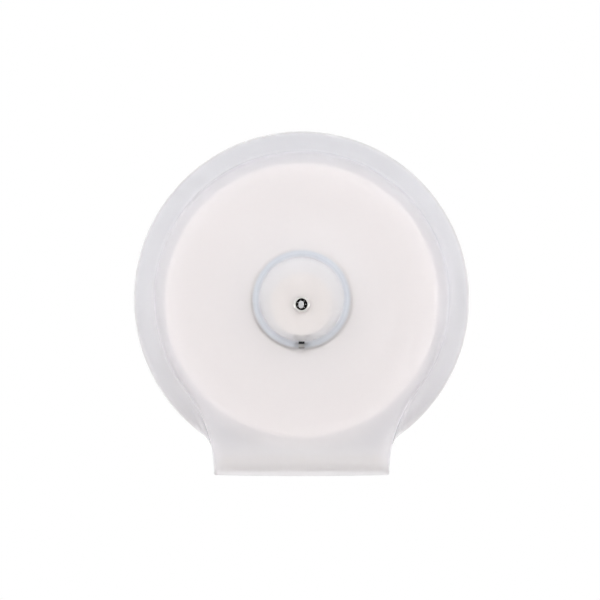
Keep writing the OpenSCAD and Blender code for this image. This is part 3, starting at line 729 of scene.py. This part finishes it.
WINDOW_W, WINDOW_TOP, WINDOW_BOTTOM, WINDOW_CORNER = 4.5, -31.8, -37.2, 0.35
pane = rounded_box(WINDOW_W / 2, WINDOW_BOTTOM, WINDOW_TOP, WINDOW_CORNER, (0, 30, 60, 90))
combine(cover, prism("window", pane, FACE_D - WALL - 1, BOSS_D + PAST, along_depth),
        "DIFFERENCE")

# %% Screw holes
SCREW_X, SCREW_Z, SCREW_R, SCREW_FROM, SCREW_TO = 55.0, -121.6, 1.3, 112, 114.95
for x in (-SCREW_X, 0, SCREW_X):
    bore = prism("screw_bore", circle(SCREW_R, x, SCREW_Z, 24), SCREW_FROM, SCREW_TO, along_depth)
    combine(cover, bore, "DIFFERENCE")

# %% Rear corners of the chute
# They are rounded round the hinge, so that they clear the wall as the cover swings
SWING, TAIL_LOW, TAIL_HALF = HINGE_D - RIM_D, -CHUTE_DROP - 9, 90
tail = [(HINGE_Z - SWING * math.sin(t), HINGE_D - SWING * math.cos(t))
        for t in np.linspace(0, math.pi / 2, 13)]
tail += [(TAIL_LOW, HINGE_D), (TAIL_LOW, -PAST), (HINGE_Z, -PAST)]
combine(cover, prism("tail", tail, -TAIL_HALF, TAIL_HALF, along_x), "DIFFERENCE")
set_outward(cover)

smooth(cover, 38)
cover.data.materials.clear()
cover.data.materials.append(frosted)
cover.data.update()
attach(cover, "cover")
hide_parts("front_cover")

# %% [markdown]
# ## Roll
# The roll is paper wound on a core for about a hundred metres. Its ends show the layers as
# fine uneven rings, which are really one long spiral. That is a rule, so Geometry Nodes make
# it: a grid of points is bent into a thick ring, and every point of the two ends sinks by an
# amount that depends on how far along the spiral it lies. The outer layer ends in a low step.


# %% Geometry Nodes helpers
class Builder:
    """Short ways to write the fields of a geometry tree."""

    def __init__(self, name, inputs):
        self.tree = bpy.data.node_groups.new(name, "GeometryNodeTree")
        for label, kind, value in inputs:
            socket = self.tree.interface.new_socket(label, in_out="INPUT", socket_type=kind)
            if value is not None:
                socket.default_value = value
        self.tree.interface.new_socket(
            "Geometry", in_out="OUTPUT", socket_type="NodeSocketGeometry")
        self.took = add_node(self.tree, "NodeGroupInput").outputs
        self.gave = add_node(self.tree, "NodeGroupOutput").inputs

    def node(self, kind, inputs=None, **settings):
        made = add_node(self.tree, kind, **settings)
        for key, value in (inputs or {}).items():
            feed(self.tree, made.inputs[key], value)
        return made

    def math(self, operation, a, b=None, c=None, clamp=False):
        return sum_of(self.tree, operation, a, b, c, clamp)

    def point(self, x, y, z):
        return self.node("ShaderNodeCombineXYZ", {0: x, 1: y, 2: z}).outputs[0]

    def position(self):
        return self.node("GeometryNodeInputPosition").outputs[0]

    def vector(self, operation, a, b):
        return self.node("ShaderNodeVectorMath", {0: a, 1: b}, operation=operation).outputs[0]

    def finish(self, geometry):
        real = self.node("GeometryNodeRealizeInstances", {0: geometry}).outputs[0]
        dressed = self.node("GeometryNodeSetMaterial",
                            {"Geometry": real, "Material": self.took["Finish"]}).outputs[0]
        feed(self.tree, self.gave[0], dressed)
        return self.tree


def grow(name, tree, values, body, material):
    """Runs a geometry tree with its named values and keeps the result as a plain mesh."""
    obj = bpy.data.objects.new(name, bpy.data.meshes.new(name))
    scene.collection.objects.link(obj)
    maker = obj.modifiers.new("maker", "NODES")
    maker.node_group = tree
    sockets = {i.name: i.identifier for i in tree.interface.items_tree if i.in_out == "INPUT"}
    for label, value in {**values, "Finish": material}.items():
        maker[sockets[label]] = value
    apply_modifiers(obj)
    set_outward(obj)
    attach(obj, body)
    return obj


# %% Roll sizes
ROLL_R, CORE_OUT, CORE_IN = 104.5 * MM, 39.6 * MM, 38.0 * MM
ROLL_LOW, ROLL_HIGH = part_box("paper_roll")
ROLL_MID = (ROLL_LOW + ROLL_HIGH) / 2
ROLL_HALF = (ROLL_HIGH.y - ROLL_LOW.y) / 2
AROUND, TURN_POINTS, LAP_POINTS = 180, 128, 6
print("roll centre", [round(c, 4) for c in ROLL_MID], "half width", round(ROLL_HALF, 4))

# %% Spiral tree
b = Builder("wound_paper", [
    ("Core Radius", "NodeSocketFloat", CORE_OUT), ("Outer Radius", "NodeSocketFloat", ROLL_R),
    ("Half Width", "NodeSocketFloat", ROLL_HALF), ("Turn Pitch", "NodeSocketFloat", 0.0021),
    ("Ridge", "NodeSocketFloat", 0.0001), ("Uneven", "NodeSocketFloat", 0.0004),
    ("Tail Step", "NodeSocketFloat", 0.0004), ("Tail Angle", "NodeSocketFloat", 0.006),
    ("Edge Round", "NodeSocketFloat", 0.0012), ("Seed", "NodeSocketFloat", 4.0),
    ("Centre", "NodeSocketVector", (0, 0, 0)), ("Finish", "NodeSocketMaterial", None),
])
TURN_SCALE, EDGE_ZONE, LAP_FROM = 1.7, 33.0, 0.999
columns, rows = AROUND + 2, 2 * TURN_POINTS + LAP_POINTS + 2
grid = b.node("GeometryNodeMeshGrid", {
    "Size X": columns - 1.0, "Size Y": rows - 1.0, "Vertices X": columns, "Vertices Y": rows})
where = split(b.tree, b.position())
column = b.math("ADD", where["X"], (columns - 1) / 2)
row = b.math("ADD", where["Y"], (rows - 1) / 2)
print("grid of", columns, "by", rows, "points")

# %% Spiral tree: round the axis
# Once round, and one more column that closes the step at the tail
share = b.math("MINIMUM", b.math("DIVIDE", column, float(AROUND)), 1.0)
over = b.math("MAXIMUM", b.math("SUBTRACT", column, float(AROUND)), 0.0)
sweep = b.math("SUBTRACT", 2 * math.pi, b.took["Tail Angle"])
angle = b.math("ADD", b.math("MULTIPLY_ADD", share, sweep, b.took["Tail Angle"]),
               b.math("MULTIPLY", over, b.took["Tail Angle"]))
# Along the profile: out over the front end, back over the lap, in over the rear end
last = float(2 * TURN_POINTS + LAP_POINTS)
going_out = b.math("DIVIDE", row, float(TURN_POINTS))
coming_in = b.math("DIVIDE", b.math("SUBTRACT", last, row), float(TURN_POINTS))
outward = b.math("MINIMUM", b.math("MINIMUM", going_out, coming_in), 1.0)
outward = b.math("MAXIMUM", outward, 0.0)
back = b.math("DIVIDE", b.math("SUBTRACT", row, float(TURN_POINTS)), float(LAP_POINTS),
              clamp=True)
back = b.math("SUBTRACT", back, b.math("MAXIMUM", b.math("SUBTRACT", row, last), 0.0))
# The tail of the paper ends in a step on the lap
step = b.math("MULTIPLY", b.math("SUBTRACT", share, over), b.took["Tail Step"])
step = b.math("MULTIPLY", b.math("GREATER_THAN", outward, LAP_FROM), step)
thick = b.math("SUBTRACT", b.took["Outer Radius"], b.took["Core Radius"])
radius = b.math("MULTIPLY_ADD", outward, thick, b.took["Core Radius"])
radius = b.math("SUBTRACT", radius, step)
print("ring of", AROUND, "columns")

# %% Spiral tree: cut ends
# How far along the spiral a point lies, in turns
turns = b.math("SUBTRACT", b.math("DIVIDE", radius, b.took["Turn Pitch"]),
               b.math("DIVIDE", angle, 2 * math.pi))
whole = b.math("FLOOR", turns)
part = b.math("SUBTRACT", turns, whole)
along = b.math("ADD", whole, b.math("DIVIDE", angle, 2 * math.pi))
uneven = b.node("ShaderNodeTexNoise", {
    "W": b.math("MULTIPLY_ADD", along, TURN_SCALE, b.took["Seed"]),
    "Scale": 1.0, "Detail": 2.0},
    noise_dimensions="1D").outputs[0]
valley = b.math("POWER", b.math("ABSOLUTE", b.math("MULTIPLY_ADD", part, 2.0, -1.0)), 2.0)
sink = b.math("MULTIPLY_ADD", valley, b.took["Ridge"],
              b.math("MULTIPLY", uneven, b.took["Uneven"]))
# The last thirty-third of the way out is rounded over
rim = b.math("MAXIMUM", b.math("MULTIPLY_ADD", outward, EDGE_ZONE, 1 - EDGE_ZONE), 0.0)
sink = b.math("MULTIPLY_ADD", b.math("MULTIPLY", rim, rim), b.took["Edge Round"], sink)
depth = b.math("MULTIPLY", b.math("SUBTRACT", b.took["Half Width"], sink),
               b.math("MULTIPLY_ADD", back, 2.0, -1.0))
spot = b.point(b.math("MULTIPLY", radius, b.math("COSINE", angle)), depth,
               b.math("MULTIPLY", radius, b.math("SINE", angle)))
spot = b.vector("ADD", spot, b.took["Centre"])
bent = b.node("GeometryNodeSetPosition", {"Geometry": grid.outputs["Mesh"], "Position": spot})
joined = b.node("GeometryNodeMergeByDistance", {
    "Geometry": bent.outputs[0], "Distance": 0.00001})
wound_paper = b.finish(joined.outputs[0])
print("tree", wound_paper.name, "nodes", len(wound_paper.nodes))

# %% [markdown]
# ## Finish: tissue
# Tissue is warm white, soft and matt. The ends of the roll are striped by thousands of cut
# edges, far finer than the mesh, so a bump and a tint that run with the radius stand for
# them. Round the boss the paper lies in the shade of the boss and the core's hollow, so it is
# painted whiter towards the core, a painted light that keeps it as bright as the rest of the
# face. The outer layer is embossed with small dots and has a faint sheen of fibres.

# %% Layer group
layer_group, took, gave = new_group(
    "radial_layers",
    [("Layer", "NodeSocketFloat", 0.0003), ("Centre Height", "NodeSocketFloat", 0.0)],
    [("Stripe", "NodeSocketFloat"), ("On End", "NodeSocketFloat"),
     ("Radius", "NodeSocketFloat")],
)
END_FACING = 0.6
place = add_node(layer_group, "ShaderNodeTexCoord").outputs
from_centre = radius_of(layer_group, split(layer_group, place["Object"]), took["Centre Height"])
stripe = add_node(layer_group, "ShaderNodeTexNoise", noise_dimensions="1D")
stripe.inputs["Scale"].default_value = 1
stripe.inputs["Detail"].default_value = 3
feed(layer_group, stripe.inputs["W"], sum_of(layer_group, "DIVIDE", from_centre, took["Layer"]))
facing = sum_of(layer_group, "ABSOLUTE", split(layer_group, place["Normal"])["Y"])
feed(layer_group, gave["Stripe"], stripe.outputs[0])
feed(layer_group, gave["On End"], sum_of(layer_group, "GREATER_THAN", facing, END_FACING))
feed(layer_group, gave["Radius"], from_centre)
print("group", layer_group.name)

# %% Tissue
TISSUE_WARM = (0.92, 0.885, 0.87)
TISSUE_SHADE = (0.87, 0.835, 0.815)
TISSUE_LIT_NEAR_CORE = (0.96, 0.935, 0.92)
CORE_FADE_FROM, CORE_FADE = 0.08, 0.038
LAYER, FIBRE, FIBRE_CLOUD = 0.0004, 0.0012, 0.02
STRIPE_SHADE, CLOUD_SHADE = 0.6, 0.4
DOTS_A_METRE, DOT_UNEVEN, DOT_R, DOT_SOFT = 300, 0.15, 0.4, 0.1
DOT_HIGH, FUZZ_HIGH = 0.00035, 0.00015
tissue, tree, shader = new_material("tissue", {
    "Roughness": 0.9, "Specular IOR Level": 0.2, "Sheen Weight": 0.2})
layers = use_group(tree, layer_group, {"Layer": LAYER, "Centre Height": ROLL_MID.z})
fibres = use_group(tree, grain_group, {"Grain Size": FIBRE, "Cloud Size": FIBRE_CLOUD})
edge_tone = sum_of(tree, "MULTIPLY", sum_of(tree, "MULTIPLY", layers["Stripe"], STRIPE_SHADE),
                   layers["On End"])
tone = sum_of(tree, "MULTIPLY_ADD", fibres["Cloud"], CLOUD_SHADE, edge_tone)
# Painted light: the paper is made whiter towards the core, to lift the shade that the boss and
# the core's hollow throw on the roll's end.
core_light_share = ramp(tree, layers["Radius"], CORE_FADE_FROM, CORE_FADE)
tint = mix_colours(tree, tone, TISSUE_WARM, TISSUE_SHADE)
feed(tree, shader.inputs["Base Color"], mix_colours(tree, core_light_share, tint, TISSUE_LIT_NEAR_CORE))
dots = add_node(tree, "ShaderNodeTexVoronoi", feature="F1")
dots.inputs["Scale"].default_value = DOTS_A_METRE
dots.inputs["Randomness"].default_value = DOT_UNEVEN
place = add_node(tree, "ShaderNodeTexCoord").outputs
feed(tree, dots.inputs["Vector"], place["Object"])
on_lap = sum_of(tree, "SUBTRACT", 1, layers["On End"])
dot = sum_of(tree, "SMOOTH_MIN", dots.outputs["Distance"], DOT_R, DOT_SOFT)
raised = sum_of(tree, "ADD", sum_of(tree, "MULTIPLY", dot, on_lap),
                sum_of(tree, "MULTIPLY", layers["Stripe"], layers["On End"]))
embossed = relief(tree, DOT_HIGH, raised)
fuzz = relief(tree, FUZZ_HIGH, fibres["Height"], embossed)
feed(tree, shader.inputs["Normal"], fuzz)
print("tissue", TISSUE_WARM)

# %% Roll
roll = grow("wound_roll", wound_paper, {
    "Core Radius": CORE_OUT, "Outer Radius": ROLL_R, "Half Width": ROLL_HALF,
    "Centre": tuple(ROLL_MID), "Seed": 4.0,
}, "roll", tissue)
smooth(roll, 50)
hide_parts("paper_roll")

# %% [markdown]
# ## Core
# The core is a tube of pale board, wound from two strips on a slant. Its seam shows as
# a shallow helical line, and its cut ends are a little fuzzy. A turned ring with rounded
# edges gives the tube, and the seam and the fibres belong to its finish.


# %% Turned rings
TURNED_STEPS = 144


def turned(name, profile, centre, body, material):
    """A closed ring about the Y axis. The profile holds (radius, depth towards +Y) points."""
    verts, faces = [], []
    count = len(profile)
    for i in range(TURNED_STEPS):
        t = 2 * math.pi * i / TURNED_STEPS
        verts += [(centre.x + r * math.cos(t), centre.y + y, centre.z + r * math.sin(t))
                  for r, y in profile]
    for i in range(TURNED_STEPS):
        a, c = i * count, (i + 1) % TURNED_STEPS * count
        faces += [(a + k, a + (k + 1) % count, c + (k + 1) % count, c + k) for k in range(count)]
    obj = mesh_from(name, verts, faces)
    set_outward(obj)
    smooth(obj, 50)
    obj.data.materials.append(material)
    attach(obj, body)
    return obj


# %% Board
BOARD_TONE, BOARD_DARK, SEAM_TONE = (0.89, 0.86, 0.82), (0.84, 0.81, 0.76), (0.65, 0.6, 0.53)
SEAM_PITCH, SEAM_SHARE, SEAM_DEEP = 0.11, 0.012, 0.0001
board, tree, shader = new_material("board", {"Roughness": 0.88, "Specular IOR Level": 0.25})
fibres = use_group(tree, grain_group, {
    "Grain Size": 0.0007, "Cloud Size": 0.006, "Stretch": (1, 0.35, 1)})
point = split(tree, add_node(tree, "ShaderNodeTexCoord").outputs["Object"])
up = sum_of(tree, "SUBTRACT", point["Z"], ROLL_MID.z)
turn = sum_of(tree, "ARCTAN2", up, point["X"])
helix = sum_of(tree, "FRACT", sum_of(tree, "MULTIPLY_ADD", turn, 1 / (2 * math.pi),
                                     sum_of(tree, "DIVIDE", point["Y"], SEAM_PITCH)))
seam = sum_of(tree, "LESS_THAN", helix, SEAM_SHARE)
plain = mix_colours(tree, fibres["Cloud"], BOARD_TONE, BOARD_DARK)
feed(tree, shader.inputs["Base Color"], mix_colours(tree, seam, plain, SEAM_TONE))
feed(tree, shader.inputs["Normal"], relief(
    tree, SEAM_DEEP, sum_of(tree, "SUBTRACT", fibres["Height"], seam)))
print("board", BOARD_TONE)

# %% Core
CORE_ROUND = 0.0004
core_profile = []
for r, y, start in ((CORE_OUT - CORE_ROUND, 1, 0), (CORE_IN + CORE_ROUND, 1, 90),
                    (CORE_IN + CORE_ROUND, -1, 180), (CORE_OUT - CORE_ROUND, -1, 270)):
    core_profile += [
        (r + CORE_ROUND * math.cos(math.radians(start + t)),
         y * (ROLL_HALF - CORE_ROUND) + CORE_ROUND * math.sin(math.radians(start + t)))
        for t in (0, 45, 90)]
core = turned("roll_core_tube", core_profile, ROLL_MID, "roll", board)
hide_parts("roll_core")

# %% [markdown]
# ## Lock
# The lock is a small chromed cam lock with a ring-shaped keyway: seen from the front it is a
# bright rim, a dark ring and a bright post. The dark ring is the shade inside the deep
# recess, so the chrome is painted near black inside the keyway: a painted shade. On the floor
# of the keyway stand the heads of seven small pins, placed round a circle by Geometry Nodes.
# The cam is bright zinc, and the middle of its tip is black, in a patch only as wide as the
# window: that is the black spot which the photograph shows in the window under the lock.


# %% Mask helpers
def all_of(tree, *masks):
    result = masks[0]
    for mask in masks[1:]:
        result = sum_of(tree, "MULTIPLY", result, mask)
    return result


def paint_over(material, mask, colour):
    """Lays a colour over a finish where the mask is 1."""
    tree = material.node_tree
    socket = tree.nodes["Principled BSDF"].inputs["Base Color"]
    feed(tree, socket, mix_colours(tree, mask, socket.links[0].from_socket, colour))


# %% Painted shade in the keyway
KEYWAY_R, KEYWAY_FLOOR, KEYWAY_MOUTH = 0.00462, 0.1214, 0.1266
KEYWAY_SHADE = (0.012, 0.011, 0.01)
tree = lock_chrome.node_tree
point = split(tree, add_node(tree, "ShaderNodeTexCoord").outputs["Object"])
from_lock = radius_of(tree, point, -LOCK_DROP * MM)
# Painted shade: the chrome inside the keyway's deep recess is made near black, where shade falls.
keyway_shade_mask = all_of(tree, sum_of(tree, "LESS_THAN", from_lock, KEYWAY_R),
               sum_of(tree, "GREATER_THAN", point["Y"], -KEYWAY_MOUTH),
               sum_of(tree, "LESS_THAN", point["Y"], -KEYWAY_FLOOR))
paint_over(lock_chrome, keyway_shade_mask, KEYWAY_SHADE)
print("keyway darkened to radius", KEYWAY_R)

# %% Black tip of the cam
TIP_TOP, TIP_HALF = -0.0314, 0.0025
TIP_BLACK = (0.02, 0.02, 0.02)
tree = cam_zinc.node_tree
point = split(tree, add_node(tree, "ShaderNodeTexCoord").outputs["Object"])
# The middle of the tip is black, in a patch only as wide as the window under the lock, and not
# metallic there.
black_patch = all_of(tree, sum_of(tree, "LESS_THAN", point["Z"], TIP_TOP),
                sum_of(tree, "LESS_THAN", sum_of(tree, "ABSOLUTE", point["X"]), TIP_HALF))
paint_over(cam_zinc, black_patch, TIP_BLACK)
feed(tree, tree.nodes["Principled BSDF"].inputs["Metallic"],
     sum_of(tree, "SUBTRACT", 1, black_patch))
print("cam black below", TIP_TOP)

# %% Ring of pins
PIN_COUNT, PIN_FLOOR, PIN_TAPER_FROM, PIN_TAPER = 7, 0.1224, 0.0001, 0.35
b = Builder("ring_of_pins", [
    ("Count", "NodeSocketInt", PIN_COUNT), ("Ring Radius", "NodeSocketFloat", 0.0031),
    ("Pin Radius", "NodeSocketFloat", 0.0005), ("Pin Height", "NodeSocketFloat", 0.0006),
    ("Centre", "NodeSocketVector", (0, 0, 0)), ("Finish", "NodeSocketMaterial", None),
])
ring_line = b.node("GeometryNodeCurvePrimitiveCircle", {
    "Resolution": b.took["Count"], "Radius": b.took["Ring Radius"]})
pin = b.node("GeometryNodeMeshCylinder", {
    "Vertices": 16, "Side Segments": 2, "Radius": b.took["Pin Radius"],
    "Depth": b.took["Pin Height"]})
# The upper end of each pin is narrowed
on_top = b.math("GREATER_THAN", split(b.tree, b.position())["Z"], PIN_TAPER_FROM)
taper = b.math("SUBTRACT", 1.0, b.math("MULTIPLY", on_top, PIN_TAPER))
narrowed = b.vector("MULTIPLY", b.position(), b.point(taper, taper, 1.0))
shaped = b.node("GeometryNodeSetPosition", {
    "Geometry": pin.outputs["Mesh"], "Position": narrowed})
placed = b.node("GeometryNodeInstanceOnPoints", {
    "Points": ring_line.outputs["Curve"], "Instance": shaped.outputs[0]})
stood = b.node("GeometryNodeTransform", {
    "Geometry": placed.outputs[0], "Translation": b.took["Centre"],
    "Rotation": (math.pi / 2, 0, 0)})
ring_of_pins = b.finish(stood.outputs[0])
pins = grow("lock_pins", ring_of_pins, {
    "Count": PIN_COUNT, "Centre": (0, -PIN_FLOOR, -LOCK_DROP * MM)}, "lock_rotor", pin_ground)

# %% [markdown]
# ## Post of the lock
# The key turns the lock by a post in the middle of the keyway. In the photograph the post is
# the one bright spot, taller than it is wide, so a ground sleeve of that outline goes over
# the CAD's round post. Rings of points, smaller towards the top, round its edge.

# %% Post
POST_ACROSS, POST_UP, POST_AT = 2.15, 2.9, (-0.35, -4.25)
POST_RINGS = ((1.0, 121.9), (1.0, 126.5), (0.96, 126.8), (0.88, 127.0), (0.74, 127.1),
              (0.3, 127.14))  # share of the full width, depth in mm
POST_POINTS, POST_SQUARE = 40, 0.8
verts = []
for share, depth in POST_RINGS:
    for t in np.linspace(0, 2 * math.pi, POST_POINTS + 1)[:-1]:
        across = math.copysign(abs(math.cos(t)) ** POST_SQUARE, math.cos(t))
        upright = math.copysign(abs(math.sin(t)) ** POST_SQUARE, math.sin(t))
        verts.append((POST_AT[0] + share * POST_ACROSS * across,
                      POST_AT[1] + share * POST_UP * upright, depth))
faces = [tuple(range(POST_POINTS))[::-1], tuple(range(len(verts) - POST_POINTS, len(verts)))]
for k in range(len(POST_RINGS) - 1):
    a, c = k * POST_POINTS, (k + 1) * POST_POINTS
    faces += [(a + j, a + (j + 1) % POST_POINTS, c + (j + 1) % POST_POINTS, c + j)
              for j in range(POST_POINTS)]
post = mesh_from("lock_post", to_scene(verts), faces)
set_outward(post)
smooth(post, 40)
post.data.materials.append(pin_ground)
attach(post, "lock_rotor")

# %% [markdown]
# ## Thread of the lock's barrel
# Behind the cover the barrel carries a fine thread for its nut. A spiral curve with a small
# triangular section, swept by Geometry Nodes, gives the ridge.

# %% Thread
b = Builder("barrel_thread", [
    ("Turns", "NodeSocketFloat", 6.0), ("Radius", "NodeSocketFloat", 0.0052),
    ("Length", "NodeSocketFloat", 0.005), ("Ridge", "NodeSocketFloat", 0.0003),
    ("Centre", "NodeSocketVector", (0, 0, 0)), ("Finish", "NodeSocketMaterial", None),
])
helix_line = b.node("GeometryNodeCurveSpiral", {
    "Resolution": 36, "Rotations": b.took["Turns"], "Start Radius": b.took["Radius"],
    "End Radius": b.took["Radius"], "Height": b.took["Length"]})
section = b.node("GeometryNodeCurvePrimitiveCircle", {
    "Resolution": 3, "Radius": b.took["Ridge"]})
ridge = b.node("GeometryNodeCurveToMesh", {
    "Curve": helix_line.outputs["Curve"], "Profile Curve": section.outputs["Curve"],
    "Fill Caps": True})
laid = b.node("GeometryNodeTransform", {
    "Geometry": ridge.outputs[0], "Translation": b.took["Centre"],
    "Rotation": (math.pi / 2, 0, 0)})
thread_tree = b.finish(laid.outputs[0])
THREAD_START = 0.1127
thread = grow("barrel_thread", thread_tree, {
    "Turns": 6.0, "Radius": 0.0051, "Length": 0.005,
    "Centre": (0, -THREAD_START, -LOCK_DROP * MM),
}, "cover", zinc_bright)

# %% Finishes on the solids
FINISH_OF = {
    "base_plastic": base_grey, "hub_plastic": hub_white, "bush_plastic": bush_acetal,
    "disc_plastic": disc_cream, "bar_plastic": bar_milky, "lock_chrome": lock_chrome,
    "cam_steel": cam_zinc, "clip_steel": clip_black, "pin_steel": pin_ground,
    "bar_steel": bar_steel, "zinc_steel": zinc_bright, "cardboard": board, "tissue": tissue,
    "frosted_plastic": frosted,
}
slot_of = {p["node"]: p["material_slot"] for p in frame["record"]["subparts"]}
for name, obj in nodes.items():
    obj.data.materials.clear()
    obj.data.materials.append(FINISH_OF[slot_of[name]])
print("finished solids", len(nodes))
